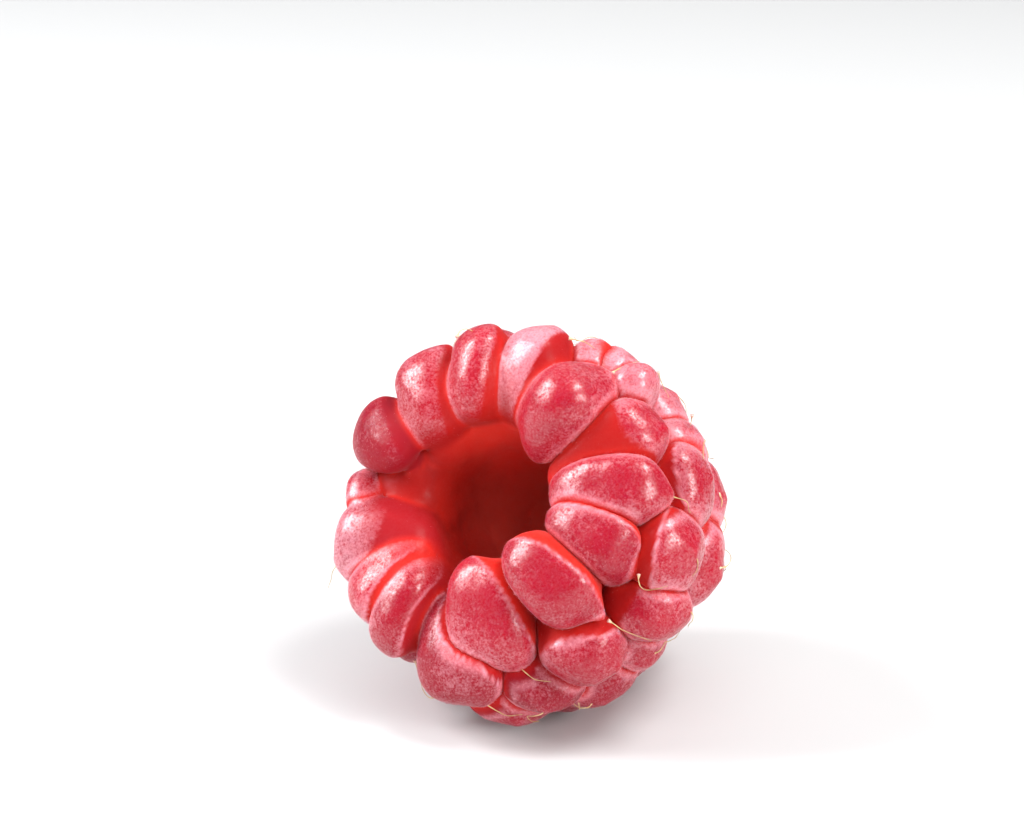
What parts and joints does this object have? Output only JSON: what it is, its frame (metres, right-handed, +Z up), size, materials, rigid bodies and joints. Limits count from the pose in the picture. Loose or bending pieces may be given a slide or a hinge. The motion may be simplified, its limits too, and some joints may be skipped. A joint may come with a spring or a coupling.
{
  "type": "raspberry",
  "caption": "Picked raspberry lying on its side: rounded red drupelets grown together round a tapering hollow that is open where the core came out.",
  "frame": {"origin": "on the surface it rests on, under the middle of the berry's bounding box", "axes": "+Z up; -Y is the horizontal direction that the open hollow faces, and the berry's own axis rises 23 degrees towards the mouth"},
  "size_m": [0.023, 0.0226, 0.0224],
  "materials": {
    "raspberry": "soft, slightly glossy skin with a pale bloom"
  },
  "bodies": {
    "root": {"raspberry": "raspberry"}
  },
  "joints": []
}
